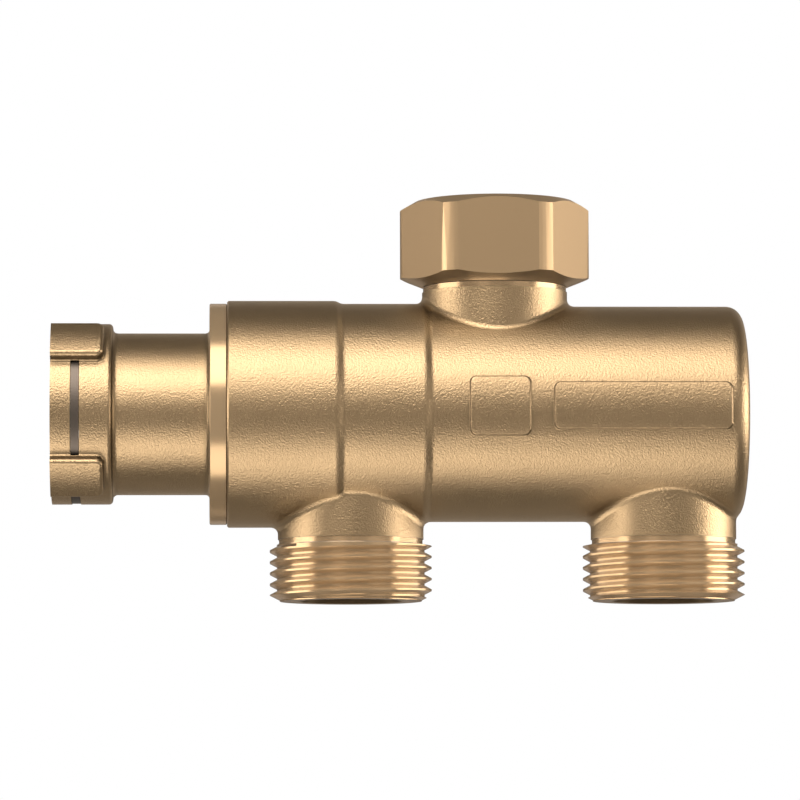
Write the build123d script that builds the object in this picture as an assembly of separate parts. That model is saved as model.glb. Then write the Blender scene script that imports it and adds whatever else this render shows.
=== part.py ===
"""Motorised three-way valve: the brass valve body with its spindle cartridge.

The body lies along X and stands on its two male outlets. The union inlet points up.
Left of the body a screwed-in bonnet carries the clip collar for the actuator. Inside, a
sprung spindle moves a shuttle between two seats and so sends the flow to one outlet or
the other. Millimetres, +Z up, z = 0 at the two outlet faces.
"""
from build123d import *
import math
import os

os.makedirs("parts", exist_ok=True)

# Overall places along the body axis (X)
left_end = -56.40           # open end of the clip collar
joint_x = -27.90            # bonnet flange meets the casting
outlet_a_x = -7.70          # outlet nearest the actuator
inlet_x = 15.99             # union inlet, points up
outlet_b_x = 43.51          # outlet at the closed end

# Body casting
body_r_left = 18.56         # barrel at the bonnet
step_a_drop = 0.47          # the barrel gets slimmer in two soft steps
step_b_drop = 0.44
body_r_mid = body_r_left - step_a_drop
body_r_right = body_r_mid - step_b_drop
step_a_x = outlet_a_x - 1.97  # where the outside steps down
step_b_x = outlet_a_x + 12.26
step_run = 1.7              # length over which a step slopes
end_round = 2.6             # rounding of the closed end
mouth_edge = 0.25           # turned edge at the bonnet joint
end_wall = 4.5              # thickness of the closed end
neck_r = 11.90              # cast neck of each port
end_margin = 0.99           # flat of the closed end past the last neck
right_end = outlet_b_x + neck_r + end_margin  # closed end of the casting
saddle_fillet = 1.15        # fillet where a neck leaves the barrel
outlet_drop = 12.09         # outlet faces below the barrel's underside
axis_z = body_r_left + outlet_drop

# Bores of the body, each reached through the one before it
mouth_wall = 3.56           # barrel wall over the bonnet's thread
bonnet_thread_r = body_r_left - mouth_wall  # M30 thread, drawn at its nominal size
bonnet_thread_depth = 10.4
mouth_seal_r = bonnet_thread_r + 1.1  # recess for the bonnet's O-ring
mouth_seal_depth = 2.1
bore_step = 0.4             # the bore narrows as the outside does
bore_left_r = bonnet_thread_r - 2 * bore_step
bore_a_r = bore_left_r - bore_step
bore_b_r = bore_a_r - bore_step
fit_gap = 0.10              # radial clearance of pieces that slide in by hand

# Outlets: male pipe thread 3/4 inch
port_bore_r = 8.2
thread_major_r = 13.22
thread_pitch = 1.814
thread_depth = 1.162
thread_crest = 0.30         # width of the flat on each crest
thread_length = 9.0         # from the end face to the start of the run-out
thread_run_out = 0.30
thread_lead_r = 11.6        # plain lead-in at the end face
thread_lead = 0.15
thread_lead_slope = 0.5     # rise of the lead-in cone for each mm of radius
thread_start = -0.914       # height at which the groove starts, clear of the end face
thread_end = 9.30
band_r = neck_r - 0.17      # turned band between neck and thread
band_height = 0.80
port_mouth_chamfer = 0.6

# Union inlet
inlet_bore_r = 6.5
tail_r = 8.90               # spigot inside the union nut
inlet_band_bottom = body_r_left + 1.39  # turned band just under the nut, above the axis
inlet_band_top = inlet_band_bottom + 0.85
tail_top = inlet_band_top + 5.9  # end face of the spigot, where the gasket lies
nut_across_flats = 28.1
nut_corner_r = 15.5         # corners are turned off to this radius
nut_height = 13.9
nut_bottom = inlet_band_top + 0.10
nut_top = nut_bottom + nut_height
nut_lip = 2.1               # thickness of the nut's inner lip
ring_groove_r = tail_r - 0.55
ring_wire_r = 0.8
ring_groove_z = nut_bottom + nut_lip + 0.35
nut_bottom_circle_r = band_r + 0.17  # where the lower chamfer ends
nut_bottom_angle = 22.0
nut_top_circle_r = 13.1
nut_top_angle = 30.0
nut_hole_gap = 0.25         # round the tail, so that the nut spins freely
nut_thread_r = 9.32         # inside of the 1/2 inch union thread
nut_relief_r = 10.6
nut_relief_height = 4.75
gasket_thick = 1.6

# Bonnet
clip_outer_r = 14.58        # snap ring in the collar's groove
clip_groove_r = clip_outer_r + 0.44
collar_r = clip_groove_r - 0.26  # between its pads, so the groove breaks through there
collar_length = 9.90
collar_edge = 0.65
collar_foot = 0.80
pad_height = 1.99           # four raised pads over the clip groove
pad_r = collar_r + pad_height
pad_length = 8.60
pad_angle = 28.0            # each pad spans this, centred at 45 degrees
pad_round = 0.70
pad_foot = 0.50
pad_corner = 1.2            # corners at the pads' inner ends
neck_bonnet_r = collar_r - 1.54
flange_r = body_r_left - 0.47
flange_thick = 2.85
flange_foot = 0.65
flange_edge = 0.25
spigot_length = 10.1
spigot_bore_r = bonnet_thread_r - 4.2
spigot_bore_depth = 7.5
seal_undercut_r = bonnet_thread_r - 1.0
seal_undercut_length = 2.3
socket_r = 12.9             # the actuator's nose goes in here
socket_chamfer = 0.4
socket_depth = 8.1
clip_groove_from = 3.22     # from the collar's open end
clip_groove_width = 1.47
clip_radial = 2.2
clip_thick = 1.30
clip_gap_angle = 28.0
guide_bore_r = 8.5
guide_bore_depth = 10.0     # from the socket's floor
web_thick = 3.0
web_hole_r = 2.9
spring_pocket_r = 8.6

# Spindle, its guide and seals
stem_r = 2.5
stem_gap = 0.05
stem_tip = 2.0              # tip behind the collar's open end
stem_tip_round = 0.7
stud_r = 2.0                # thinner end that carries the shuttle
stud_over = 1.0             # stud beyond its nut
stroke = 7.0
bush_face = 1.75            # guide bush behind the socket's floor
bush_lip = 1.3
ring_section = 1.78         # O-ring cord diameter
stem_ring_groove_r = 4.15
bush_ring_groove_r = 6.95
groove_width = 2.2
circlip_thick = 1.0
circlip_over = 0.60         # how far the circlip stands into its groove
circlip_radial = 1.7
circlip_gap_angle = 60.0
clip_e_thick = 0.7
clip_e_r = 4.6
clip_e_root_r = 1.9
washer_r = 6.2
washer_thick = 0.8
clip_to_web = 2.1           # E-clip to the bonnet's web at rest
spring_wire_r = 0.6
spring_mean_r = 4.7
spring_turns = 5.0

# Cartridge
cage_bore_left_r = bore_left_r - 2.4
cage_bore_mid_r = bore_a_r - 2.2
cage_ring = 1.6             # rings that close the cage's ends
hub_r = 5.6
spoke_width = 3.2
seat_hole_r = 7.0
seat_web = 4.4
seat_lip_r = 7.9
seat_lip_width = 1.1
seat_lip_height = 0.6
seat_a_x = 7.0              # face that the shuttle closes at rest
land_margin = 1.7           # rims of the land either side of its O-ring
cage_ring_section = 2.4
cage_groove_width = 2.8
cage_groove_depth = 1.95
window_angle = 72.0
seal_r = 9.2
seal_thick = 2.5
core_r = 8.0
core_waist_r = 5.2
core_thick = 4.0
core_rim = 1.3
backing_r = 5.0
backing_thick = 0.8
nut_m4_flats = 7.0
nut_m4_thick = 3.2
seat_gap = 0.05             # left between shuttle and seat in the model

# Label pads on the front of the casting
label_small = (9.7, 9.5)      # size along X and up
label_long = (28.6, 7.6)
label_long_x = 39.0
label_height = 0.50
label_round = 0.24            # rounding of the top edge
label_foot = 0.24
label_corner = 1.0


def lathe(points, rounds=()):
    """Solid of revolution about the body axis from (x, r) points; rounds are (x, r, radius)."""
    face = make_face(Polyline(*[(x, r) for x, r in points], close=True))
    for x, r, radius in rounds:
        corner = face.vertices().sort_by_distance(Vector(x, r, 0))[0]
        face = fillet(corner, radius)
    return Pos(0, 0, axis_z) * revolve(face, Axis.X)


def post(points, x, rounds=()):
    """Solid of revolution about a vertical axis at x from (r, z above the body axis) points."""
    face = make_face(Polyline(*[(r, z) for r, z in points], close=True))
    for r, z, radius in rounds:
        corner = face.vertices().sort_by_distance(Vector(r, z, 0))[0]
        face = fillet(corner, radius)
    upright = Plane((x, 0, axis_z), x_dir=(1, 0, 0), z_dir=(0, -1, 0))
    return revolve(upright * face, Axis((x, 0, axis_z), (0, 0, 1)))


def rod(r, x0, x1, r_in=0.0):
    """Plain round bar or tube along the body axis."""
    bar = lathe([(x0, 0), (x1, 0), (x1, r), (x0, r)])
    if r_in > 0:
        bar -= lathe([(x0 - 1, 0), (x1 + 1, 0), (x1 + 1, r_in), (x0 - 1, r_in)])
    return bar


def o_ring(mean_r, section, x):
    """Torus round the body axis."""
    return Pos(x, 0, axis_z) * Rot(0, 90, 0) * Torus(mean_r, section / 2)


def sector(x0, x1, centre_deg, width_deg, reach):
    """Wedge about the body axis, between two places on X; 0 deg is -Y, 90 deg is up."""
    half = math.radians(width_deg / 2)
    mid = math.radians(centre_deg)
    far = reach / math.cos(half)
    pts = [(0, 0)] + [(-far * math.cos(mid + s * half), far * math.sin(mid + s * half))
                      for s in (-1, 1)]
    across = Plane((x0, 0, axis_z), x_dir=(0, 1, 0), z_dir=(1, 0, 0))
    return extrude(across * make_face(Polyline(*pts, close=True)), x1 - x0)


def prism(r_flat, x0, x1):
    """Hexagonal bar along the body axis, r_flat from axis to flat."""
    across = Plane((x0, 0, axis_z), x_dir=(0, 1, 0), z_dir=(1, 0, 0))
    return extrude(across * RegularPolygon(r_flat, 6, major_radius=False), x1 - x0)


def helical_groove():
    """Right-hand thread groove, 55 degree flanks, about the Z axis.

    It starts on the -X side, clear of the end face.
    """
    root_r = thread_major_r - thread_depth
    out_r = thread_major_r + 0.23
    flank = math.tan(math.radians(27.5))
    w_major = (thread_pitch - thread_crest) / 2
    w_root = w_major - thread_depth * flank
    w_out = w_major + (out_r - thread_major_r) * flank
    path = Helix(pitch=thread_pitch, height=thread_end - thread_start, radius=root_r)
    start = Plane(origin=path @ 0, x_dir=(1, 0, 0), z_dir=(path % 0))
    section = make_face(Polyline((0, -w_root), (out_r - root_r, -w_out),
                                 (out_r - root_r, w_out), (0, w_root), close=True))
    groove = sweep(start * section, path=path, is_frenet=True)
    return Pos(0, 0, thread_start) * Rot(0, 0, 180) * groove


def outlet_end(x, turn):
    """Turned and threaded end of the outlet at x; turn is where its thread starts."""
    lead_top = thread_lead + (thread_major_r - thread_lead_r) * thread_lead_slope
    band_bottom = thread_length + thread_run_out
    end = post([(0, 0), (thread_lead_r, 0), (thread_lead_r, thread_lead),
                (thread_major_r, lead_top), (thread_major_r, thread_length),
                (band_r, band_bottom), (band_r, band_bottom + band_height),
                (0, band_bottom + band_height)], 0)
    end = Pos(0, 0, -axis_z) * end - helical_groove()
    return Pos(x, 0, 0) * Rot(0, 0, turn) * end


# Body casting
def barrel():
    """Solid barrel with three soft steps down and a rounded closed end."""
    s = step_run / 2

    def ease(x, r0, r1):
        return Spline((x - s, r0), (x + s, r1), tangents=[(1, 0), (1, 0)])

    outline = [Line((joint_x, 0), (joint_x, body_r_left)),
               Line((joint_x, body_r_left), (step_a_x - s, body_r_left)),
               ease(step_a_x, body_r_left, body_r_mid),
               Line((step_a_x + s, body_r_mid), (step_b_x - s, body_r_mid)),
               ease(step_b_x, body_r_mid, body_r_right),
               Line((step_b_x + s, body_r_right), (right_end, body_r_right)),
               Line((right_end, body_r_right), (right_end, 0)),
               Line((right_end, 0), (joint_x, 0))]
    face = make_face(outline)
    corners = face.vertices()
    end_corner = corners.sort_by_distance(Vector(right_end, body_r_right, 0))[0]
    face = fillet(end_corner, end_round)
    mouth_corner = face.vertices().sort_by_distance(Vector(joint_x, body_r_left, 0))[0]
    face = chamfer(mouth_corner, mouth_edge)
    return Pos(0, 0, axis_z) * revolve(face, Axis.X)


def saddle_edges(solid, x):
    """Edges where the neck at x runs into the barrel."""
    found = []
    for e in solid.edges():
        spots = [e @ t for t in (0, 0.25, 0.5, 0.75, 1)]
        if all(abs(math.hypot(p.X - x, p.Y) - neck_r) < 0.02
               and abs(p.Z - axis_z) < body_r_left + 0.1 for p in spots):
            found.append(e)
    return found


def valve_body():
    outlets = [outlet_a_x, outlet_b_x]
    turned_top = thread_length + thread_run_out + band_height - axis_z
    body = barrel()
    for x in outlets:
        body += post([(0, turned_top), (neck_r, turned_top), (neck_r, 0), (0, 0)], x)
        body = fillet(saddle_edges(body, x), saddle_fillet)
    body += post([(0, 0), (neck_r, 0), (neck_r, inlet_band_bottom), (0, inlet_band_bottom)],
                 inlet_x)
    body = fillet(saddle_edges(body, inlet_x), saddle_fillet)
    # turned ends of the outlets
    body += outlet_end(outlet_a_x, 180)
    body += outlet_end(outlet_b_x, 0)
    # turned spigot of the inlet
    body += post([(0, inlet_band_bottom), (band_r, inlet_band_bottom), (band_r, inlet_band_top),
                  (tail_r, inlet_band_top), (tail_r, tail_top), (0, tail_top)], inlet_x)
    body -= post([(ring_groove_r, ring_groove_z), (tail_r + 1, ring_groove_z),
                  (tail_r + 1, ring_groove_z + 2 * ring_wire_r + 0.1),
                  (ring_groove_r, ring_groove_z + 2 * ring_wire_r + 0.1)], inlet_x)
    body = add_labels(body)
    # stepped main bore
    bore_end = right_end - end_wall
    body -= lathe([(joint_x - 1, 0), (bore_end, 0), (bore_end, bore_b_r),
                   (bore_b_from, bore_b_r), (bore_b_from - bore_cone, bore_a_r),
                   (bore_a_from, bore_a_r), (bore_a_from - bore_cone, bore_left_r),
                   (joint_x + bonnet_thread_depth, bore_left_r),
                   (joint_x + bonnet_thread_depth, bonnet_thread_r),
                   (joint_x + mouth_seal_depth, bonnet_thread_r),
                   (joint_x + mouth_seal_depth, mouth_seal_r), (joint_x - 1, mouth_seal_r)])
    # port bores
    for x in outlets:
        c = port_mouth_chamfer
        body -= post([(0, -axis_z - 1), (port_bore_r + c + 1, -axis_z - 1),
                      (port_bore_r, -axis_z + c), (port_bore_r, 0), (0, 0)], x)
    body -= post([(0, 0), (inlet_bore_r, 0), (inlet_bore_r, tail_top + 1), (0, tail_top + 1)],
                 inlet_x)
    return body


def add_labels(body):
    """Two bare raised pads that follow the barrel on its front."""
    top_r = body_r_right + label_height
    for (w, h), x in ((label_small, inlet_x), (label_long, label_long_x)):
        front = Plane((x, 0, axis_z), x_dir=(1, 0, 0), z_dir=(0, -1, 0))
        block = extrude(front * RectangleRounded(w, h, label_corner), body_r_left + 5)
        body += block & rod(top_r, x - w, x + w, body_r_right - 0.5)
        for r, radius in ((top_r, label_round), (body_r_right, label_foot)):
            rim = [e for e in body.edges() if e.center().Y < 0
                   and all(abs(p.X - x) < w / 2 + 0.1 and abs(p.Z - axis_z) < h / 2 + 0.1
                           and abs(math.hypot(p.Y, p.Z - axis_z) - r) < 0.02
                           for p in (e @ 0, e @ 0.5, e @ 1))]
            body = fillet(rim, radius)
    return body


# Bonnet with the clip collar, turned and forged in one piece
spigot_end = joint_x + spigot_length
socket_floor = left_end + socket_depth
bush_x = socket_floor + bush_face
web_left = socket_floor + guide_bore_depth
web_right = web_left + web_thick


def collar_pad(centre):
    """One pad of the collar: radial sides, rounded rim and inner corners."""
    pad = rod(pad_r, left_end, left_end + pad_length, socket_r) & sector(
        left_end - 1, left_end + pad_length + 1, centre, pad_angle, pad_r + 2)
    inner = left_end + pad_length
    posts = [e for e in pad.edges().filter_by(GeomType.LINE)
             if abs((e @ 0).X - inner) < 0.01 and abs((e @ 1).X - inner) < 0.01]
    pad = fillet(posts, pad_corner)
    rim = [e for e in pad.edges() if e.center().X > left_end + 0.01
           and all(abs(math.hypot(p.Y, p.Z - axis_z) - pad_r) < 0.02
                   for p in (e @ 0, e @ 0.5, e @ 1))]
    return fillet(rim, pad_round)


def actuator_bonnet():
    foot_x = left_end + collar_length
    flange_x = joint_x - flange_thick
    screw_r = bonnet_thread_r - fit_gap
    turned = lathe(
        [(left_end, 0), (left_end, collar_r), (foot_x, collar_r), (foot_x, neck_bonnet_r),
         (flange_x, neck_bonnet_r), (flange_x, flange_r), (joint_x, flange_r),
         (joint_x, seal_undercut_r), (joint_x + seal_undercut_length, seal_undercut_r),
         (joint_x + seal_undercut_length, screw_r), (spigot_end, screw_r), (spigot_end, 0)],
        [(foot_x, collar_r, collar_edge), (foot_x, neck_bonnet_r, collar_foot),
         (flange_x, neck_bonnet_r, flange_foot), (flange_x, flange_r, flange_edge),
         (joint_x, flange_r, flange_edge)])
    for centre in (45, 135, 225, 315):
        turned += collar_pad(centre)
    foot = [e for e in turned.edges()
            if left_end + 0.01 < e.center().X < left_end + pad_length + 0.01
            and all(abs(math.hypot(p.Y, p.Z - axis_z) - collar_r) < 0.02
                    for p in (e @ 0, e @ 0.5, e @ 1))]
    turned = fillet(foot, pad_foot)
    turned -= lathe(
        [(left_end - 1, 0), (left_end - 1, socket_r + socket_chamfer + 1),
         (left_end + socket_chamfer, socket_r), (socket_floor, socket_r),
         (socket_floor, guide_bore_r), (web_left, guide_bore_r), (web_left, web_hole_r),
         (web_right, web_hole_r), (web_right, spring_pocket_r),
         (spigot_end - spigot_bore_depth, spring_pocket_r),
         (spigot_end - spigot_bore_depth, spigot_bore_r), (spigot_end + 1, spigot_bore_r),
         (spigot_end + 1, 0)])
    groove_x = left_end + clip_groove_from
    turned -= lathe([(groove_x, socket_r - 1), (groove_x + clip_groove_width, socket_r - 1),
                     (groove_x + clip_groove_width, clip_groove_r), (groove_x, clip_groove_r)])
    hold_r = guide_bore_r + circlip_over + 0.05
    turned -= lathe([(bush_x - circlip_thick - 0.1, guide_bore_r - 1), (bush_x, guide_bore_r - 1),
                     (bush_x, hold_r), (bush_x - circlip_thick - 0.1, hold_r)])
    return turned


def seated_ring(x, r_low, r_high):
    """O-ring squeezed between two round walls, centred at x."""
    section = r_high - r_low - 0.02
    return o_ring((r_low + r_high) / 2, section, x)


def open_ring(r_out, r_in, x0, x1, gap_deg, gap_at):
    """Flat spring ring with a gap."""
    return rod(r_out, x0, x1, r_in) - sector(x0 - 1, x1 + 1, gap_at, gap_deg, r_out + 2)


# Guide bush with its O-rings and circlip
bush_r = guide_bore_r - fit_gap / 2
stem_ring_x = [bush_x + bush_lip + groove_width / 2,
               web_left - bush_lip - groove_width / 2]
bush_ring_x = (bush_x + web_left) / 2


def groove_cut(x, r_near, r_far, width):
    return lathe([(x - width / 2, r_near), (x + width / 2, r_near),
                  (x + width / 2, r_far), (x - width / 2, r_far)])


def stem_guide_bush():
    bush = rod(bush_r, bush_x, web_left - fit_gap / 2, stem_r + stem_gap)
    for x in stem_ring_x:
        bush -= groove_cut(x, stem_r - 0.5, stem_ring_groove_r, groove_width)
    return bush - groove_cut(bush_ring_x, bush_ring_groove_r, bush_r + 1, groove_width)


def guide_clip():
    clip_x = bush_x - circlip_thick - fit_gap / 2
    r_out = guide_bore_r + circlip_over
    clip = open_ring(r_out, r_out - circlip_radial, clip_x, clip_x + circlip_thick,
                     circlip_gap_angle, 90)
    for side in (-1, 1):
        a = math.radians(90 + side * (circlip_gap_angle / 2 + 4))
        eye_r = guide_bore_r - circlip_radial
        ear = Pos(clip_x, -eye_r * math.cos(a), axis_z + eye_r * math.sin(a)) * Rot(0, 90, 0)
        ear *= Cylinder(1.5, circlip_thick, align=(Align.CENTER, Align.CENTER, Align.MIN)) \
            - Cylinder(0.6, circlip_thick, align=(Align.CENTER, Align.CENTER, Align.MIN))
        clip += ear
    return clip


# Shuttle stack, from its left face to the right
seal_a_x = seat_a_x + seat_gap
core_x = seal_a_x + seal_thick
seal_b_x = core_x + core_thick
backing_b_x = seal_b_x + seal_thick
lock_nut_x = backing_b_x + backing_thick
stud_end = lock_nut_x + nut_m4_thick + stud_over
shoulder_x = seal_a_x - backing_thick
seat_b_x = backing_b_x + stroke + seat_gap
stud_hole_r = stud_r + stem_gap

# Spring and its collar on the stem
clip_e_x = web_right + clip_to_web
washer_x = clip_e_x + clip_e_thick
spring_x = washer_x + washer_thick
cage_x = spigot_end + 0.06


def stem():
    tip = left_end + stem_tip
    bar = lathe([(tip, 0), (tip, stem_r), (shoulder_x, stem_r), (shoulder_x, stud_r),
                 (stud_end, stud_r), (stud_end, 0)],
                [(tip, stem_r, stem_tip_round), (stud_end, stud_r, 0.3)])
    return bar - groove_cut(clip_e_x + clip_e_thick / 2, clip_e_root_r, stem_r + 1,
                            clip_e_thick + 0.02)


def stem_clip():
    ring = rod(clip_e_r, clip_e_x, clip_e_x + clip_e_thick, clip_e_root_r + 0.02)
    return ring - sector(clip_e_x - 1, clip_e_x + 2, 270, 80, clip_e_r + 2)


def spring_washer():
    return rod(washer_r, washer_x, spring_x, stem_r + 0.1)


def return_spring():
    """Round wire helix, ground flat at both ends."""
    length = cage_x - spring_x
    path = Helix(pitch=length / spring_turns, height=length, radius=spring_mean_r,
                 direction=(1, 0, 0))
    wire = sweep(Plane(origin=path @ 0, z_dir=path % 0) * Circle(spring_wire_r), path=path,
                 is_frenet=True)
    room = rod(spring_mean_r + spring_wire_r + 1, spring_x, cage_x)
    return (Pos(spring_x, 0, axis_z) * wire) & room


def shuttle_seal(x):
    return lathe([(x, stud_hole_r), (x + seal_thick, stud_hole_r), (x + seal_thick, seal_r),
                  (x, seal_r)], [(x, seal_r, 0.5), (x + seal_thick, seal_r, 0.5)])


def shuttle_core():
    x0, x1 = core_x, core_x + core_thick
    return lathe([(x0, stud_hole_r), (x1, stud_hole_r), (x1, core_r), (x1 - core_rim, core_r),
                  (x1 - core_rim, core_waist_r), (x0 + core_rim, core_waist_r),
                  (x0 + core_rim, core_r), (x0, core_r)])


def backing(x):
    return rod(backing_r, x, x + backing_thick, stud_hole_r)


def shuttle_nut():
    x1 = lock_nut_x + nut_m4_thick
    nut = prism(nut_m4_flats / 2, lock_nut_x, x1)
    corner = nut_m4_flats / 2 / math.cos(math.radians(30))
    nut &= lathe([(lock_nut_x, 0), (lock_nut_x, corner), (x1 - 0.4, corner),
                  (x1, corner - 0.7), (x1, 0)])
    return nut - rod(stud_hole_r, lock_nut_x - 1, x1 + 1)


# Cartridge: cage with seat A, and the ring that carries seat B
bore_a_from = (outlet_a_x + inlet_x) / 2 - 3.2
bore_b_from = inlet_x + inlet_bore_r + 2.2
bore_cone = 0.4
land_a_x = seat_a_x - seat_lip_height - seat_web / 2
land_half = cage_groove_width / 2 + land_margin
cage_end = bore_b_from - bore_cone - 0.1


def seat_cage():
    r_left = bore_left_r - fit_gap
    r_a = bore_a_r - fit_gap
    seat_back = seat_a_x - seat_lip_height - seat_web
    seat_face = seat_a_x - seat_lip_height
    land_left = land_a_x - land_half
    cage = lathe([(cage_x, cage_bore_left_r), (cage_x, r_left), (cage_x + cage_ring, r_left),
                  (cage_x + cage_ring, r_a), (cage_end, r_a), (cage_end, cage_bore_mid_r),
                  (seat_face, cage_bore_mid_r), (seat_face, seat_lip_r + seat_lip_width / 2),
                  (seat_a_x, seat_lip_r), (seat_face, seat_lip_r - seat_lip_width / 2),
                  (seat_face, seat_hole_r), (seat_back, seat_hole_r),
                  (seat_back, cage_bore_left_r)])
    cage -= groove_cut(land_a_x, bore_a_r - cage_groove_depth, bore_a_r + 1, cage_groove_width)
    openings = ((cage_x + cage_ring, land_left), (land_a_x + land_half, cage_end - cage_ring))
    inside = min(cage_bore_left_r, cage_bore_mid_r) - 0.8
    for x0, x1 in openings:
        ring = rod(bore_left_r + 1, x0, x1, inside)
        for at in (0, 90, 180, 270):
            cage -= ring & sector(x0, x1, at, window_angle, bore_left_r + 3)
    hub = rod(hub_r, cage_x, cage_x + cage_ring, stem_r + 2 * stem_gap)
    reach = cage_bore_left_r + 0.5
    for at in (45, 135):
        bar = Pos(cage_x + cage_ring / 2, 0, axis_z) * Rot(at, 0, 0) * Box(
            cage_ring, spoke_width, 2 * reach)
        hub += bar - rod(hub_r - 0.5, cage_x - 1, cage_x + cage_ring + 1)
    return cage + hub


def seat_b_ring():
    face = seat_b_x + seat_lip_height
    rim_x = cage_end - cage_ring
    x0 = cage_end + 0.05
    x1 = x0 + 2 * land_half
    spigot_r = cage_bore_mid_r - fit_gap
    rim_r = seal_r + 1.0
    r_b = bore_b_r - fit_gap
    ring = lathe([(rim_x, rim_r), (rim_x, spigot_r), (x0, spigot_r), (x0, r_b), (x1, r_b),
                  (x1, seat_hole_r), (face, seat_hole_r),
                  (face, seat_lip_r - seat_lip_width / 2), (seat_b_x, seat_lip_r),
                  (face, seat_lip_r + seat_lip_width / 2), (face, rim_r)])
    return ring - groove_cut(x0 + land_half, bore_b_r - cage_groove_depth, bore_b_r + 1,
                             cage_groove_width)


# Union nut and what holds it on the tail
def union_nut():
    low = nut_bottom + (nut_corner_r - nut_bottom_circle_r) * math.tan(
        math.radians(nut_bottom_angle))
    high = nut_top - (nut_corner_r - nut_top_circle_r) * math.tan(math.radians(nut_top_angle))
    hexagon = extrude(Pos(inlet_x, 0, axis_z + nut_bottom) * RegularPolygon(
        nut_across_flats / 2, 6, major_radius=False), nut_top - nut_bottom)
    nut = hexagon & post([(0, nut_bottom), (nut_bottom_circle_r, nut_bottom),
                          (nut_corner_r, low), (nut_corner_r, high),
                          (nut_top_circle_r, nut_top), (0, nut_top)], inlet_x)
    lip_top = nut_bottom + nut_lip
    relief_top = lip_top + nut_relief_height
    hole_r = tail_r + nut_hole_gap
    return nut - post([(0, nut_bottom - 1), (hole_r, nut_bottom - 1), (hole_r, lip_top),
                       (nut_relief_r, lip_top), (nut_relief_r, relief_top),
                       (nut_thread_r, relief_top + 0.7), (nut_thread_r, nut_top - 0.9),
                       (nut_thread_r + 1.4, nut_top + 0.5), (0, nut_top + 0.5)], inlet_x)


def nut_retaining_ring():
    z = ring_groove_z + ring_wire_r + 0.05
    mean = ring_groove_r + 0.05 + ring_wire_r
    return Pos(inlet_x, 0, axis_z + z) * Torus(mean, ring_wire_r, major_angle=320)


def inlet_gasket():
    return post([(inlet_bore_r + 0.2, tail_top), (nut_thread_r - 0.25, tail_top),
                 (nut_thread_r - 0.25, tail_top + gasket_thick),
                 (inlet_bore_r + 0.2, tail_top + gasket_thick)], inlet_x)


def save(shape, node):
    export_step(shape, f"parts/{node}.step")
    return shape


groove_mid = left_end + clip_groove_from + clip_groove_width / 2
save(valve_body(), "valve_body")
save(actuator_bonnet(), "actuator_bonnet")
save(seated_ring(joint_x + mouth_seal_depth / 2, seal_undercut_r, mouth_seal_r),
     "bonnet_o_ring")
save(open_ring(clip_outer_r, clip_outer_r - clip_radial, groove_mid - clip_thick / 2,
               groove_mid + clip_thick / 2, clip_gap_angle, 180), "actuator_snap_ring")
save(stem_guide_bush(), "stem_guide_bush")
save(guide_clip(), "guide_clip")
save(seated_ring(bush_ring_x, bush_ring_groove_r, guide_bore_r), "guide_o_ring")
save(seated_ring(stem_ring_x[0], stem_r, stem_ring_groove_r), "stem_o_ring_outer")
save(seated_ring(stem_ring_x[1], stem_r, stem_ring_groove_r), "stem_o_ring_inner")
save(stem(), "stem")
save(stem_clip(), "stem_clip")
save(spring_washer(), "spring_washer")
save(return_spring(), "return_spring")
save(seat_cage(), "seat_cage")
save(seated_ring(land_a_x, bore_a_r - cage_groove_depth, bore_a_r), "cage_o_ring")
save(seat_b_ring(), "seat_b_ring")
save(seated_ring(cage_end + 0.05 + land_half, bore_b_r - cage_groove_depth, bore_b_r),
     "seat_b_o_ring")
save(backing(shoulder_x), "backing_washer_a")
save(shuttle_seal(seal_a_x), "shuttle_seal_a")
save(shuttle_core(), "shuttle_core")
save(shuttle_seal(seal_b_x), "shuttle_seal_b")
save(backing(backing_b_x), "backing_washer_b")
save(shuttle_nut(), "shuttle_nut")
save(union_nut(), "union_nut")
save(nut_retaining_ring(), "nut_retaining_ring")
save(inlet_gasket(), "inlet_gasket")
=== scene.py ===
import math

import bmesh
import bpy
from bpy.props import FloatProperty, FloatVectorProperty, PointerProperty, StringProperty
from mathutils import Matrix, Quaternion, Vector


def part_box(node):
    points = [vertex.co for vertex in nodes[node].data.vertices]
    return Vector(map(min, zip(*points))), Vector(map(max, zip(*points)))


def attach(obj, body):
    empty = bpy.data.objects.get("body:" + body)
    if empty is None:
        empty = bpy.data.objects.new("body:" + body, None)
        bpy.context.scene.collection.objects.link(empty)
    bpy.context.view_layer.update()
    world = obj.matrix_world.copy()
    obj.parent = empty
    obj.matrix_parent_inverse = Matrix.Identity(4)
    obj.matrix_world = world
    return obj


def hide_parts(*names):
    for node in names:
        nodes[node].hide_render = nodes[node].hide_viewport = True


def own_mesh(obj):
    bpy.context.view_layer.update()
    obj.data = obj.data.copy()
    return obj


bl_info = {
    "name": "Three-way valve looks",
    "version": (1, 0, 0),
    "blender": (4, 5, 0),
    "location": "View3D > Sidebar > Valve",
    "description": "Finishes, union thread and studio for a brass three-way valve body",
    "category": "Object",
}

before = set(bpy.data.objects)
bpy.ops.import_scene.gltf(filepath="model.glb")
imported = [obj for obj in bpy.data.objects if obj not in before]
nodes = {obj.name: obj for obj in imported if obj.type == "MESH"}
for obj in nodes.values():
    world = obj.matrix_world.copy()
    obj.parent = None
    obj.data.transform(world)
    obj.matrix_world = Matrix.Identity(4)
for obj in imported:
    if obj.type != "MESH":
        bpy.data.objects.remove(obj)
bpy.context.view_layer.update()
MM = 0.001
MATH = "ShaderNodeMath"

# Where a tool has cut the castings. Heights are from the outlet faces, reaches from an axis.
OUTLET_TURNED_TOP = 10.10 * MM
INLET_TURNED_FROM = 19.95 * MM   # above the body axis
BODY_BORE_R = 16.3 * MM
BODY_BORE_END = 53.0 * MM
BONNET_FLANGE_FROM = -30.9 * MM
BONNET_BORE_R = 13.0 * MM

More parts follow.
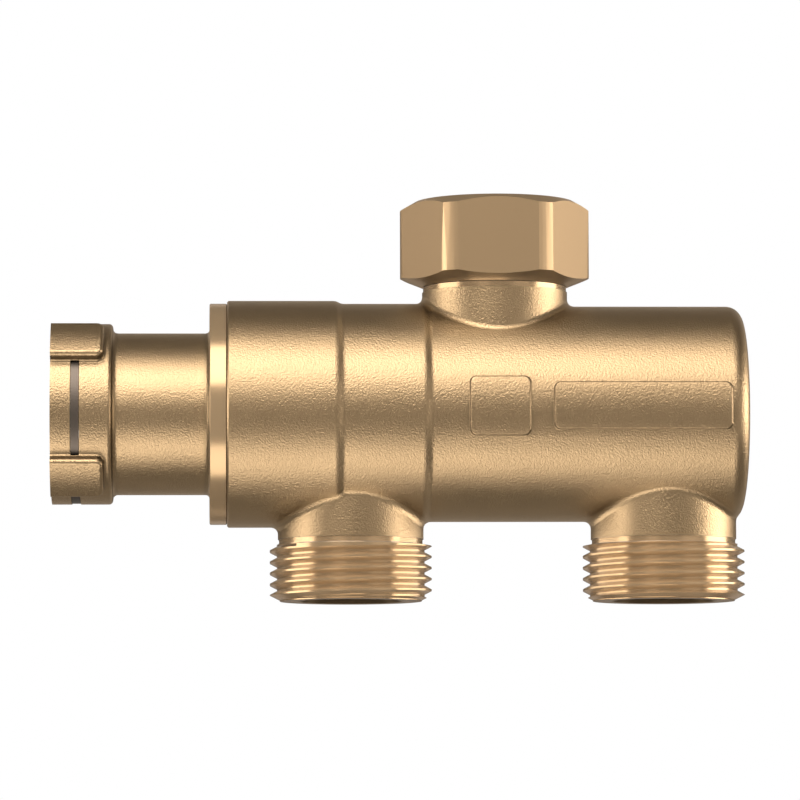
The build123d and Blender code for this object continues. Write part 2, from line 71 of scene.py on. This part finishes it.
# The water's way inside the body, whose walls get a darker colour as painted shade
SHADED_BORE_R = 15.2 * MM
SHADED_BORE_FROM = -27.0 * MM
SHADED_BORE_WALL = 2.0 * MM         # left at the closed end
SHADED_PORT_REACH = 14.0 * MM       # ports count from here, above or below the body axis
SHADED_OUTLET_R = 8.75 * MM
SHADED_INLET_R = 6.8 * MM

# Brass. CUT is metal with tool marks on a casting, BAR is a piece that is turned all over.
CAST_ROUGHNESS, CAST_METALLIC = 0.30, 1.0
CUT_ROUGHNESS, CUT_METALLIC = 0.21, 0.76
BAR_ROUGHNESS, BAR_METALLIC = 0.32, 0.86
CAST_LOW_TONE = 0.88             # darkest patch of the casting, as a share of its colour
NOOK_REACH = 1.3 * MM            # how near a wall has to be to count as a corner
NOOK_OPEN, NOOK_SHUT = 0.93, 0.45
NOOK_SHADE = 0.75                # how much painted shade darkens the colour where the corner is shut
GRAIN_DEPTH = 0.084 * MM
TOOL_MARKS = 0.04                # depth of the tool lines as a share of the grain's

# Union thread
THREAD_STEPS = 72                # round one turn
THREAD_FLANK = math.radians(27.5)
THREAD_HALF_FLAT = 0.10 * MM     # half of the flat at the groove's bottom
THREAD_FOOT = 0.25 * MM          # the cutter's foot stands this far inside the bore
THREAD_FOOT_WIDER = 0.05 * MM
THREAD_RUN_OUT = 1.2 * MM
THREAD_LEAST = 0.05              # of the full depth, at the thread's ends
THREAD_FROM = 5.6 * MM           # above the nut's bottom, in its relief
THREAD_PAST_TOP = 0.3 * MM
SMOOTH_BELOW = math.radians(12)
WELD = 0.0005 * MM


# Sizes and colours that a user would change
class ValveSizes(bpy.types.PropertyGroup):
    axis_height: FloatProperty(
        name="Axis height", description="Body axis above the outlet faces", unit="LENGTH",
        default=30.65 * MM)
    outlet_a_x: FloatProperty(
        name="Left outlet place", description="Left outlet's axis along the body",
        unit="LENGTH", default=-7.70 * MM)
    outlet_b_x: FloatProperty(
        name="Right outlet place", description="Right outlet's axis along the body",
        unit="LENGTH", default=43.51 * MM)
    inlet_x: FloatProperty(
        name="Inlet place", description="Inlet axis along the body", unit="LENGTH",
        default=15.99 * MM)
    union_major_r: FloatProperty(
        name="Union thread radius", description="Outer radius of the nut's inner thread",
        unit="LENGTH", default=10.48 * MM)
    union_minor_r: FloatProperty(
        name="Union bore radius", description="Bore that the thread stands on",
        unit="LENGTH", default=9.32 * MM)
    union_pitch: FloatProperty(
        name="Union thread pitch", description="Rise for each turn", unit="LENGTH",
        default=1.814 * MM)


class ValveFinish(bpy.types.PropertyGroup):
    cast_brass: StringProperty(
        name="Cast brass", description="sRGB hex of the blasted casting", default="EBCBA0")
    turned_brass: StringProperty(
        name="Turned brass", description="sRGB hex of the machined brass", default="EBC89C")
    bore_shade_brass: StringProperty(
        # painted shade: the darker colour of the walls inside the bores
        name="Bore brass", description="sRGB hex of the drilled walls inside", default="A58C6B")
    # painted shade laid into the casting's inner corners
    corner_shade: StringProperty(
        name="Oxide", description="sRGB hex of the casting's inner corners", default="4A3B28")
    # painted reflection: the colours that brass shows when it is seen in other brass
    cast_reflected_colour: StringProperty(
        name="Casting film", description="sRGB hex of casting that is seen in other brass",
        default="6E665B")
    turned_reflected_colour: StringProperty(
        name="Turned film", description="sRGB hex of cut brass that is seen in other brass",
        default="E6DDCF")
    grain: FloatProperty(
        name="Casting grain", description="Size of one bump of the blasted skin",
        unit="LENGTH", default=0.28 * MM)
    tool_line: FloatProperty(
        name="Tool line spacing", description="Turning marks, drawn coarser than real",
        unit="LENGTH", default=0.24 * MM)
    tone_patch: FloatProperty(
        name="Tone patches", description="Size of the casting's slow changes of tone",
        unit="LENGTH", default=9.0 * MM)


class ValveStudio(bpy.types.PropertyGroup):
    camera_distance: FloatProperty(
        name="Camera distance", description="Camera to the object's middle", unit="LENGTH",
        default=0.850)
    camera_azimuth: FloatProperty(
        name="Camera azimuth", description="Round the upright axis, 0 looks along +Y",
        subtype="ANGLE", default=math.radians(-1.925))
    camera_elevation: FloatProperty(
        name="Camera elevation", description="Above the horizon", subtype="ANGLE",
        default=math.radians(-4.85))
    camera_roll: FloatProperty(
        name="Camera roll", description="Keeps the body axis level in the picture",
        subtype="ANGLE", default=math.radians(-0.163))
    aim: FloatVectorProperty(
        name="Aim", description="Point at the middle of the picture", subtype="XYZ",
        default=(0.42 * MM, 0.0, 33.00 * MM))
    lens: FloatProperty(
        name="Lens", description="Focal length in mm on a 36 mm sensor", default=233.5)
    dome_r: FloatProperty(
        name="Card distance", description="Reflector cards from the object", unit="LENGTH",
        default=0.9)
    card_colour: StringProperty(
        name="Card colour", description="sRGB hex of the reflector cards", default="FFF7EC")
    floor_colour: StringProperty(
        name="Floor colour", description="sRGB hex of the floor paper", default="F2F2F0")
    fill: FloatProperty(
        name="Fill light", description="Strength of the even light from all round",
        default=0.55)


def settings():
    return bpy.context.scene.valve_sizes, bpy.context.scene.valve_finish


# Helpers
def linear(hex_colour):
    """sRGB hex to the linear colour that a shader takes."""
    out = []
    for i in (0, 2, 4):
        c = int(hex_colour[i:i + 2], 16) / 255
        out.append(c / 12.92 if c <= 0.04045 else ((c + 0.055) / 1.055) ** 2.4)
    return (*out, 1.0)


def darker(colour, share):
    return (*(c * share for c in colour[:3]), 1.0)


def add(tree, kind, links=None, **values):
    """Adds a node. values are its settings and plain inputs; links gives an input by its
    name or number a socket to join, or a number."""
    node = tree.nodes.new(kind)
    for key, value in values.items():
        if hasattr(node, key):
            setattr(node, key, value)
        else:
            node.inputs[key.replace("_", " ")].default_value = value
    for key, source in (links or {}).items():
        if isinstance(source, bpy.types.NodeSocket):
            tree.links.new(source, node.inputs[key])
        else:
            node.inputs[key].default_value = source
    return node


def new_material(name):
    """An empty node material with its Principled shader and output."""
    mat = bpy.data.materials.new(name)
    mat.use_nodes = True
    tree = mat.node_tree
    tree.nodes.clear()
    shader = add(tree, "ShaderNodeBsdfPrincipled")
    add(tree, "ShaderNodeOutputMaterial", {"Surface": shader.outputs["BSDF"]})
    return mat, tree, shader


def dress(node, material):
    """Gives a CAD node its finish through its object's slots."""
    obj = nodes[node]
    if not obj.material_slots:
        obj.data.materials.append(material)
    for slot in obj.material_slots:
        slot.link = "OBJECT"
        slot.material = material


def object_from(bm, name):
    """Turns a finished bmesh into an object in the scene."""
    mesh = bpy.data.meshes.new(name)
    bm.to_mesh(mesh)
    bm.free()
    obj = bpy.data.objects.new(name, mesh)
    bpy.context.scene.collection.objects.link(obj)
    return obj


def piece_like(node, name):
    """A copy of a CAD node's mesh as a piece of its own."""
    bm = bmesh.new()
    bm.from_mesh(nodes[node].data)
    bmesh.ops.remove_doubles(bm, verts=bm.verts[:], dist=WELD)
    piece = object_from(bm, name)
    piece.data.shade_smooth()
    piece.data.set_sharp_from_angle(angle=SMOOTH_BELOW)
    return piece


# Where on a piece a finish applies
def where(tree, *tests):
    """1 where every test holds. A test is a socket, LESS_THAN or GREATER_THAN, and a limit."""
    held = 1.0
    for socket, operation, limit in tests:
        test = add(tree, MATH, {0: socket, 1: limit}, operation=operation)
        held = add(tree, MATH, {0: held, 1: test.outputs[0]}, operation="MULTIPLY").outputs[0]
    return held


def any_of(tree, *masks):
    """1 where one of the masks is 1."""
    whole = 0.0
    for mask in masks:
        whole = add(tree, MATH, {0: whole, 1: mask}, operation="MAXIMUM").outputs[0]
    return whole


def reach(tree, across, up):
    """Distance from an axis, from the two offsets square to it."""
    squares = [add(tree, MATH, {0: s, 1: s}, operation="MULTIPLY").outputs[0]
               for s in (across, up)]
    total = add(tree, MATH, {0: squares[0], 1: squares[1]}, operation="ADD")
    return add(tree, MATH, {0: total.outputs[0]}, operation="SQRT").outputs[0]


def body_turned(tree, x, y, z, radial):
    """Threads and bands of the outlets, band and spigot of the inlet, and the bores."""
    axis = settings()[0].axis_height
    return any_of(
        tree,
        where(tree, (z, "LESS_THAN", OUTLET_TURNED_TOP)),
        where(tree, (z, "GREATER_THAN", axis + INLET_TURNED_FROM)),
        where(tree, (radial, "LESS_THAN", BODY_BORE_R), (x, "LESS_THAN", BODY_BORE_END)))


def bonnet_turned(tree, x, y, z, radial):
    """Flange with what is inside the body, and the bore."""
    return any_of(
        tree,
        where(tree, (x, "GREATER_THAN", BONNET_FLANGE_FROM)),
        where(tree, (radial, "LESS_THAN", BONNET_BORE_R)))


def inside_bores(tree, x, y, z, radial):
    """1 in the water's way, the drilled walls that get a darker colour as painted shade."""
    sizes = settings()[0]
    up = add(tree, MATH, {0: z, 1: sizes.axis_height}, operation="SUBTRACT").outputs[0]
    ways = [where(tree, (radial, "LESS_THAN", SHADED_BORE_R), (x, "GREATER_THAN", SHADED_BORE_FROM),
                  (x, "LESS_THAN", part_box("valve_body")[1][0] - SHADED_BORE_WALL))]
    below, above = ("LESS_THAN", -SHADED_PORT_REACH), ("GREATER_THAN", SHADED_PORT_REACH)
    for port_x, port_r, side in ((sizes.outlet_a_x, SHADED_OUTLET_R, below),
                                 (sizes.inlet_x, SHADED_INLET_R, above),
                                 (sizes.outlet_b_x, SHADED_OUTLET_R, below)):
        along = add(tree, MATH, {0: x, 1: port_x}, operation="SUBTRACT").outputs[0]
        ways.append(where(tree, (up, *side), (reach(tree, along, y), "LESS_THAN", port_r)))
    return any_of(tree, *ways)


# Finishes
def brass(name, turned_where=None, lines=None, bore_shade_where=None):
    """Brass that is blasted casting skin except where turned_where is 1.

    With no turned_where the piece is turned all over. lines is the axis that the lathe tool
    moved along, for its marks, and the last argument gives the bore walls, which get a darker
    colour as painted shade.
    """
    sizes, finish = settings()
    mat, tree, shader = new_material(name)
    # a cut surface is less than fully metallic: its fine tool marks scatter part of the light
    colour, reflected_colour = linear(finish.turned_brass), linear(finish.turned_reflected_colour)
    if turned_where is None:
        shader.inputs["Roughness"].default_value = BAR_ROUGHNESS
        shader.inputs["Metallic"].default_value = BAR_METALLIC
    else:
        place = add(tree, "ShaderNodeTexCoord").outputs["Object"]
        x, y, z = add(tree, "ShaderNodeSeparateXYZ", {"Vector": place}).outputs
        up = add(tree, MATH, {0: z, 1: sizes.axis_height}, operation="SUBTRACT").outputs[0]
        radial = reach(tree, y, up)
        turned = turned_where(tree, x, y, z, radial)
        skin = add(tree, MATH, {0: 1.0, 1: turned}, operation="SUBTRACT").outputs[0]
        # colour: slow change of tone in the casting, one tone where a tool has cut
        cast = linear(finish.cast_brass)
        tone = add(tree, "ShaderNodeTexNoise", {"Vector": place}, Scale=1 / finish.tone_patch,
                   Detail=3.0).outputs["Fac"]
        mottled = add(tree, "ShaderNodeMix", {
            "Factor": tone, "A": darker(cast, CAST_LOW_TONE), "B": cast},
            data_type="RGBA").outputs["Result"]
        colour = add(tree, "ShaderNodeMix", {"Factor": turned, "A": mottled, "B": colour},
                     data_type="RGBA").outputs["Result"]
        # painted shade: the walls inside the bores take a darker brass colour
        if bore_shade_where is not None:
            colour = add(tree, "ShaderNodeMix", {
                "Factor": bore_shade_where(tree, x, y, z, radial), "A": colour,
                "B": linear(finish.bore_shade_brass)}, data_type="RGBA").outputs["Result"]
        # painted shade: where ambient occlusion finds an inner corner of the casting, its
        # colour darkens towards dark brown
        nook = add(tree, "ShaderNodeAmbientOcclusion", samples=8, Distance=NOOK_REACH)
        shade_share = add(tree, "ShaderNodeMapRange", {"Value": nook.outputs["AO"]},
                    From_Min=NOOK_SHUT, From_Max=NOOK_OPEN, To_Min=NOOK_SHADE,
                    To_Max=0.0).outputs["Result"]
        skin_shade_share = add(tree, MATH, {0: shade_share, 1: skin}, operation="MULTIPLY").outputs[0]
        colour = add(tree, "ShaderNodeMix", {"Factor": skin_shade_share, "A": colour,
                                             "B": linear(finish.corner_shade)},
                     data_type="RGBA").outputs["Result"]
        # painted reflection colour, for the casting and for the cut metal
        reflected_colour = add(tree, "ShaderNodeMix", {"Factor": turned, "A": linear(finish.cast_reflected_colour),
                                           "B": reflected_colour}, data_type="RGBA").outputs["Result"]
        for key, cast_value, cut_value in (("Roughness", CAST_ROUGHNESS, CUT_ROUGHNESS),
                                           ("Metallic", CAST_METALLIC, CUT_METALLIC)):
            value = add(tree, "ShaderNodeMapRange", {"Value": turned}, To_Min=cast_value,
                        To_Max=cut_value)
            tree.links.new(value.outputs["Result"], shader.inputs[key])
        # bump: blasted grain on the casting, tool lines where it is turned
        grain = add(tree, "ShaderNodeTexNoise", {"Vector": place}, Scale=1 / finish.grain,
                    Detail=2.0, Roughness=0.6).outputs["Fac"]
        grain = add(tree, MATH, {0: grain, 1: skin}, operation="MULTIPLY").outputs[0]
        along = add(tree, MATH, {0: {"x": x, "z": z}[lines],
                                 1: 2 * math.pi / finish.tool_line}, operation="MULTIPLY")
        wave = add(tree, MATH, {0: along.outputs[0]}, operation="SINE").outputs[0]
        marks = add(tree, MATH, {0: wave, 1: turned}, operation="MULTIPLY").outputs[0]
        height = add(tree, MATH, {0: marks, 1: TOOL_MARKS, 2: grain},
                     operation="MULTIPLY_ADD")
        bump = add(tree, "ShaderNodeBump", {"Height": height.outputs[0]}, Strength=1.0,
                   Distance=GRAIN_DEPTH)
        tree.links.new(bump.outputs["Normal"], shader.inputs["Normal"])
    # painted reflection: brass that is seen in other brass takes a duller, greyer colour, which
    # keeps corners and grooves brown
    mirrored = add(tree, "ShaderNodeLightPath").outputs["Is Glossy Ray"]
    seen = add(tree, "ShaderNodeMix", {"Factor": mirrored, "A": colour, "B": reflected_colour},
               data_type="RGBA")
    tree.links.new(seen.outputs["Result"], shader.inputs["Base Color"])
    return mat


def plain(name, hex_colour, metallic, roughness, grain_mm, depth_mm, fleck=0.0):
    """A plain finish with fine grain of a real size.

    fleck is how much darker the grain's low spots are.
    """
    mat, tree, shader = new_material(name)
    place = add(tree, "ShaderNodeTexCoord").outputs["Object"]
    noise = add(tree, "ShaderNodeTexNoise", {"Vector": place}, Scale=1 / (grain_mm * MM),
                Detail=2.0).outputs["Fac"]
    base = linear(hex_colour)
    mix = add(tree, "ShaderNodeMix", {"Factor": noise, "A": darker(base, 1 - fleck),
                                      "B": base}, data_type="RGBA")
    tree.links.new(mix.outputs["Result"], shader.inputs["Base Color"])
    bump = add(tree, "ShaderNodeBump", {"Height": noise}, Strength=0.4,
               Distance=depth_mm * MM)
    tree.links.new(bump.outputs["Normal"], shader.inputs["Normal"])
    shader.inputs["Metallic"].default_value = metallic
    shader.inputs["Roughness"].default_value = roughness
    return mat


# Pieces
class VALVE_OT_casting(bpy.types.Operator):
    """Finish of the pressed brass body and of the bonnet with its clip collar"""
    bl_idname = "valve.casting"
    bl_label = "Casting and bonnet"

    def execute(self, context):
        # hot-pressed brass, blasted: a satin skin with broad soft bands of light and a fine
        # crinkle, and brighter, smoother metal where it is turned
        dress("valve_body", brass("hot_pressed_brass_body", body_turned, "z", inside_bores))
        dress("actuator_bonnet", brass("hot_pressed_brass_bonnet", bonnet_turned, "x"))
        return {"FINISHED"}


def thread_cutter(x, bottom, top):
    """A screwed ridge about the upright axis at x, wide enough to cut an inner thread."""
    sizes = settings()[0]
    pitch, minor, major = sizes.union_pitch, sizes.union_minor_r, sizes.union_major_r
    inner = minor - THREAD_FOOT
    rings = []
    bm = bmesh.new()
    for i in range(round((top - bottom) / pitch * THREAD_STEPS) + 1):
        turn = 2 * math.pi * i / THREAD_STEPS
        z = bottom + pitch * i / THREAD_STEPS
        # full depth after half a turn, and running out below the top
        depth = max(THREAD_LEAST, min(1.0, i / THREAD_STEPS * 2, (top - z) / THREAD_RUN_OUT))
        tip = minor + (major - minor) * depth
        wide = (tip - inner) * math.tan(THREAD_FLANK) + THREAD_FOOT_WIDER
        rings.append([bm.verts.new((x + r * math.cos(turn), r * math.sin(turn), z + dz))
                      for r, dz in ((inner, -wide), (tip, -THREAD_HALF_FLAT),
                                    (tip, THREAD_HALF_FLAT), (inner, wide))])
    for one, two in zip(rings, rings[1:]):
        for k in range(4):
            bm.faces.new((one[k], one[(k + 1) % 4], two[(k + 1) % 4], two[k]))
    bm.faces.new(rings[0][::-1])
    bm.faces.new(rings[-1])
    bmesh.ops.recalc_face_normals(bm, faces=bm.faces[:])
    return object_from(bm, "thread_cutter")


class VALVE_OT_union(bpy.types.Operator):
    """Union nut with its inner thread, retaining ring and gasket"""
    bl_idname = "valve.union"
    bl_label = "Union nut"

    def execute(self, context):
        # brass turned from hexagon bar: clean flats with an even, soft shine
        finish = brass("machined_brass_nut")
        dress("union_nut", finish)
        low, high = (corner[2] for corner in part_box("union_nut"))
        nut = piece_like("union_nut", "union_nut_threaded")
        cutter = thread_cutter(settings()[0].inlet_x, low + THREAD_FROM,
                               high + THREAD_PAST_TOP)
        cut = nut.modifiers.new("thread", "BOOLEAN")
        cut.operation, cut.solver, cut.object = "DIFFERENCE", "EXACT", cutter
        graph = bpy.context.evaluated_depsgraph_get()
        made = bpy.data.meshes.new_from_object(nut.evaluated_get(graph))
        nut.modifiers.clear()
        nut.data = made
        bpy.data.objects.remove(cutter)
        made.shade_smooth()
        made.set_sharp_from_angle(angle=SMOOTH_BELOW)
        made.materials.clear()
        made.materials.append(finish)
        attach(nut, "nut")
        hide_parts("union_nut")
        # drawn spring steel wire: grey, with narrow highlights
        dress("nut_retaining_ring", plain("spring_steel_wire", "9A9A9C", 1.0, 0.3, 0.3, 0.01))
        # pressed fibre: matt grey-green, flecked
        dress("inlet_gasket", plain("fibre_gasket", "4B5A4C", 0.0, 0.8, 0.25, 0.04, 0.25))
        return {"FINISHED"}


class VALVE_OT_spindle(bpy.types.Operator):
    """Stainless spindle, washers, nut, clips and return spring"""
    bl_idname = "valve.spindle"
    bl_label = "Spindle"

    def execute(self, context):
        # turned stainless steel: pale and bright
        steel = plain("turned_stainless_steel", "C4C5C8", 1.0, 0.22, 0.2, 0.004)
        # oiled spring steel: darker and warmer, with a dull shine
        spring = plain("spring_steel_strip", "8A8078", 1.0, 0.42, 0.3, 0.008)
        for node in ("stem", "spring_washer", "backing_washer_a", "backing_washer_b",
                     "shuttle_nut"):
            dress(node, steel)
        for node in ("stem_clip", "guide_clip", "actuator_snap_ring", "return_spring"):
            dress(node, spring)
        # the spring stands on the bonnet, copied as a piece of its own that rides with the body
        coil = piece_like("return_spring", "return_spring_coil")
        coil.data.materials.clear()
        coil.data.materials.append(spring)
        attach(coil, "body")
        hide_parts("return_spring")
        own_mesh(coil)
        # brass turned from bar, with an even, soft shine
        dress("shuttle_core", brass("turned_brass_core"))
        return {"FINISHED"}


class VALVE_OT_cartridge(bpy.types.Operator):
    """Moulded cage, seats, guide bush and rubber seals"""
    bl_idname = "valve.cartridge"
    bl_label = "Cartridge and seals"

    def execute(self, context):
        # glass-filled nylon: black, with pale fibre in a half matt skin
        cage = plain("moulded_glass_filled_nylon", "1E1E20", 0.0, 0.5, 0.5, 0.02, 0.2)
        # acetal rod: waxy off-white
        acetal = plain("turned_acetal", "E6E2D6", 0.0, 0.38, 0.4, 0.006, 0.05)
        # moulded rubber: black and matt
        epdm = plain("moulded_epdm_rubber", "121213", 0.0, 0.62, 0.3, 0.01, 0.15)
        for node in ("seat_cage", "seat_b_ring"):
            dress(node, cage)
        dress("stem_guide_bush", acetal)
        for node in ("bonnet_o_ring", "guide_o_ring", "stem_o_ring_outer",
                     "stem_o_ring_inner", "cage_o_ring", "seat_b_o_ring", "shuttle_seal_a",
                     "shuttle_seal_b"):
            dress(node, epdm)
        return {"FINISHED"}


# Studio. Reflector cards round the object: name, strength, degrees round the body axis with
# 0 in front and 90 above, degrees along it, and distance as a share of the dome's radius.
CARDS_ROUND_AXIS = (
    ("room", 0.12, (-180, 180), (-90, 90), 1.12),
    ("card_front", 0.185, (-35, 30), (-55, 55), 1.08),
    ("card_key", 2.5, (26, 71), (-35, 15), 1.04),
    ("card_low", 1.55, (-71, -36), (-35, 15), 1.04),
    ("card_behind_high", 0.34, (146, 168), (-60, 60), 1.04),
    ("card_behind_low", 0.34, (188, 208), (-60, 60), 1.04),
    ("card_under", 0.26, (-136, -120), (-50, 50), 1.04),
)
# The same round the upright axis, with 0 in front and 90 at the right, for the necks
CARDS_UPRIGHT = (
    ("card_right", 3.4, (69, 113), (-8, 17), 1.0),
    ("card_left", 2.35, (-105, -62), (-8, 17), 1.0),
    ("card_near_left", 0.38, (-30, -10), (-25, 25), 1.0),
    ("card_near_right", 0.38, (28, 56), (-25, 25), 1.0),
)
# Cards back to back between the outlets, which keep them out of each other: name, place and
# strength. Rays that graze one, off the barrel's underside, pass through it.
CARDS_IN_GAP = (("card_gap_left", 17.90 * MM, 2.1), ("card_gap_right", 17.95 * MM, 1.5))
GAP_CARD_SIZE = ((-16 * MM, 16 * MM), (1 * MM, 12 * MM))   # across and up
GAP_CARD_GRAZE = 0.26
CARD_COLUMNS, CARD_ROWS = 40, 16
LAMPS = (("key_lamp", (-0.25, -0.62, 0.72), 0.7, 5.0),
         ("fill_lamp", (0.70, -0.45, 0.40), 0.6, 2.0))
FLOOR_HALF = 1.2
FLOOR_HEIGHT = -0.0002


def bent_card(turn, side, radius, centre, upright):
    """A piece of a sphere between the angles turn and side."""
    bm = bmesh.new()
    grid = []
    for row in range(CARD_ROWS + 1):
        b = math.radians(side[0] + (side[1] - side[0]) * row / CARD_ROWS)
        line = []
        for column in range(CARD_COLUMNS + 1):
            a = math.radians(turn[0] + (turn[1] - turn[0]) * column / CARD_COLUMNS)
            way = Vector((math.sin(a) * math.cos(b), -math.cos(a) * math.cos(b),
                          math.sin(b)))
            if not upright:
                way = Vector((way.z, way.y, way.x))
            line.append(bm.verts.new(Vector(centre) + radius * way))
        grid.append(line)
    for one, two in zip(grid, grid[1:]):
        for c in range(CARD_COLUMNS):
            bm.faces.new((one[c], one[c + 1], two[c + 1], two[c]))
    return bm


def hang(bm, name, strength, graze=None):
    """A glowing card that reflections alone see; rays that graze it pass where graze is set."""
    obj = object_from(bm, name)
    mat = bpy.data.materials.new(name + "_paint")
    mat.use_nodes = True
    mat.cycles.emission_sampling = "NONE"
    tree = mat.node_tree
    tree.nodes.clear()
    surface = add(tree, "ShaderNodeEmission", Strength=strength,
                  Color=linear(bpy.context.scene.valve_studio.card_colour)).outputs[0]
    if graze is not None:
        facing = add(tree, "ShaderNodeLayerWeight", Blend=0.5).outputs["Facing"]
        clear = add(tree, "ShaderNodeBsdfTransparent").outputs[0]
        surface = add(tree, "ShaderNodeMixShader", {
            0: where(tree, (facing, "GREATER_THAN", graze)), 1: surface, 2: clear}).outputs[0]
    add(tree, "ShaderNodeOutputMaterial", {"Surface": surface})
    obj.data.materials.append(mat)
    for ray in ("camera", "diffuse", "shadow", "transmission", "volume_scatter"):
        setattr(obj, "visible_" + ray, False)


class VALVE_OT_stage(bpy.types.Operator):
    """Camera, floor, world, lamps and reflector cards"""
    bl_idname = "valve.stage"
    bl_label = "Studio"

    def execute(self, context):
        scene = bpy.context.scene
        studio = scene.valve_studio
        scene.view_settings.view_transform = "Standard"
        # camera
        aim = Vector(studio.aim)
        a, e = studio.camera_azimuth, studio.camera_elevation
        back = Vector((math.sin(a) * math.cos(e), -math.cos(a) * math.cos(e), math.sin(e)))
        cam = bpy.data.objects.new("camera", bpy.data.cameras.new("camera"))
        scene.collection.objects.link(cam)
        cam.location = aim + back * studio.camera_distance
        cam.rotation_mode = "QUATERNION"
        level = (-back).to_track_quat("-Z", "Y")
        cam.rotation_quaternion = level @ Quaternion((0, 0, 1), studio.camera_roll)
        cam.data.lens = studio.lens
        cam.data.sensor_width = 36.0
        cam.data.clip_start, cam.data.clip_end = 0.05, 20.0
        scene.camera = cam
        # world: white for camera and reflections, plain fill for everything else
        world = bpy.data.worlds.new("studio")
        scene.world = world
        world.use_nodes = True
        tree = world.node_tree
        tree.nodes.clear()
        path = add(tree, "ShaderNodeLightPath").outputs
        seen = any_of(tree, path["Is Camera Ray"], path["Is Glossy Ray"],
                      path["Is Transmission Ray"])
        white = add(tree, "ShaderNodeBackground", Color=(1, 1, 1, 1), Strength=1.0)
        fill = add(tree, "ShaderNodeBackground", Color=(1, 1, 1, 1), Strength=studio.fill)
        mix = add(tree, "ShaderNodeMixShader", {0: seen, 1: fill.outputs[0],
                                                2: white.outputs[0]})
        add(tree, "ShaderNodeOutputWorld", {"Surface": mix.outputs[0]})
        # floor: matt paper from above, not there from below, where the camera stands
        bm = bmesh.new()
        bm.faces.new([bm.verts.new((sx * FLOOR_HALF, sy * FLOOR_HALF, FLOOR_HEIGHT))
                      for sx, sy in ((-1, -1), (1, -1), (1, 1), (-1, 1))])
        floor = object_from(bm, "floor")
        mat, tree, shader = new_material("pale_floor_paper")
        shader.inputs["Base Color"].default_value = linear(studio.floor_colour)
        shader.inputs["Roughness"].default_value = 0.9
        below = add(tree, "ShaderNodeNewGeometry").outputs["Backfacing"]
        clear = add(tree, "ShaderNodeBsdfTransparent").outputs[0]
        out = next(n for n in tree.nodes if n.type == "OUTPUT_MATERIAL")
        mix = add(tree, "ShaderNodeMixShader", {0: below, 1: shader.outputs[0], 2: clear})
        tree.links.new(mix.outputs[0], out.inputs["Surface"])
        floor.data.materials.append(mat)
        floor.visible_glossy = False
        # soft lamps for what isn't metal
        for name, place, size, power in LAMPS:
            lamp = bpy.data.lights.new(name, "AREA")
            lamp.size, lamp.energy = size, power
            obj = bpy.data.objects.new(name, lamp)
            obj.location = place
            obj.rotation_mode = "QUATERNION"
            obj.rotation_quaternion = (aim - Vector(place)).to_track_quat("-Z", "Y")
            obj.visible_camera = False
            obj.visible_glossy = False
            scene.collection.objects.link(obj)
        # cards for the metal: a dark room with bright windows
        centre = (0, 0, scene.valve_sizes.axis_height)
        for cards, upright in ((CARDS_ROUND_AXIS, False), (CARDS_UPRIGHT, True)):
            for name, strength, turn, side, share in cards:
                hang(bent_card(turn, side, share * studio.dome_r, centre, upright), name,
                     strength)
        (left, right), (low, high) = GAP_CARD_SIZE
        for name, x, strength in CARDS_IN_GAP:
            bm = bmesh.new()
            bm.faces.new([bm.verts.new((x, y, z)) for y, z in (
                (left, low), (right, low), (right, high), (left, high))])
            hang(bm, name, strength, GAP_CARD_GRAZE)
        return {"FINISHED"}


class VALVE_PT_panel(bpy.types.Panel):
    """Lists the valve's operators"""
    bl_label = "Valve"
    bl_idname = "VALVE_PT_panel"
    bl_space_type = "VIEW_3D"
    bl_region_type = "UI"
    bl_category = "Valve"

    def draw(self, context):
        for op in OPERATORS:
            self.layout.operator(op.bl_idname)


OPERATORS = (VALVE_OT_casting, VALVE_OT_union, VALVE_OT_spindle, VALVE_OT_cartridge,
             VALVE_OT_stage)
GROUPS = (("valve_sizes", ValveSizes), ("valve_finish", ValveFinish),
          ("valve_studio", ValveStudio))


def register():
    for name, group in GROUPS:
        bpy.utils.register_class(group)
        setattr(bpy.types.Scene, name, PointerProperty(type=group))
    for cls in (*OPERATORS, VALVE_PT_panel):
        bpy.utils.register_class(cls)


def unregister():
    for cls in reversed((*OPERATORS, VALVE_PT_panel)):
        bpy.utils.unregister_class(cls)
    for name, group in reversed(GROUPS):
        delattr(bpy.types.Scene, name)
        bpy.utils.unregister_class(group)


def main():
    register()
    bpy.ops.valve.casting()
    bpy.ops.valve.union()
    bpy.ops.valve.spindle()
    bpy.ops.valve.cartridge()
    bpy.ops.valve.stage()


if __name__ == "__main__":
    main()
